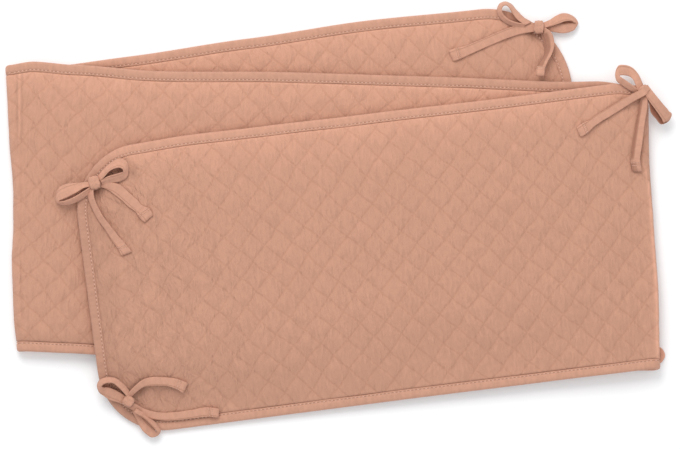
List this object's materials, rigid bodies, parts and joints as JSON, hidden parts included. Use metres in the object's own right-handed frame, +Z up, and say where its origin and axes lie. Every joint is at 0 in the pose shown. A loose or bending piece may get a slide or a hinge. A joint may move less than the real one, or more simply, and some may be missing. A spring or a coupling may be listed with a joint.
{
  "type": "folded quilted crib bumper",
  "caption": "Long quilted cot side pad with a bound edge, folded in three layers, with tape ties knotted in bows at its corners.",
  "frame": {"origin": "on the flat underside of the bottom layer, near the middle of the folded pack", "axes": "+X along the folded strip from its left fold to its right fold, +Y towards the bottom layer's far edge, +Z up"},
  "size_m": [0.6741, 0.44, 0.0323],
  "materials": {
    "quilted_cloth": "matt crinkled cotton, diamond quilted",
    "binding_cloth": "matt cotton bias tape",
    "tie_cloth": "matt cotton tape, edge stitched"
  },
  "bodies": {
    "root": {"quilted_panel": "quilted_cloth", "edge_binding": "binding_cloth", "tie_top_left": "tie_cloth", "tie_bottom_left": "tie_cloth", "tie_right_top": "tie_cloth", "tie_bottom_layer": "tie_cloth", "tie_right_bottom": "tie_cloth", "tie_bottom_layer_hidden": "tie_cloth"}
  },
  "joints": []
}
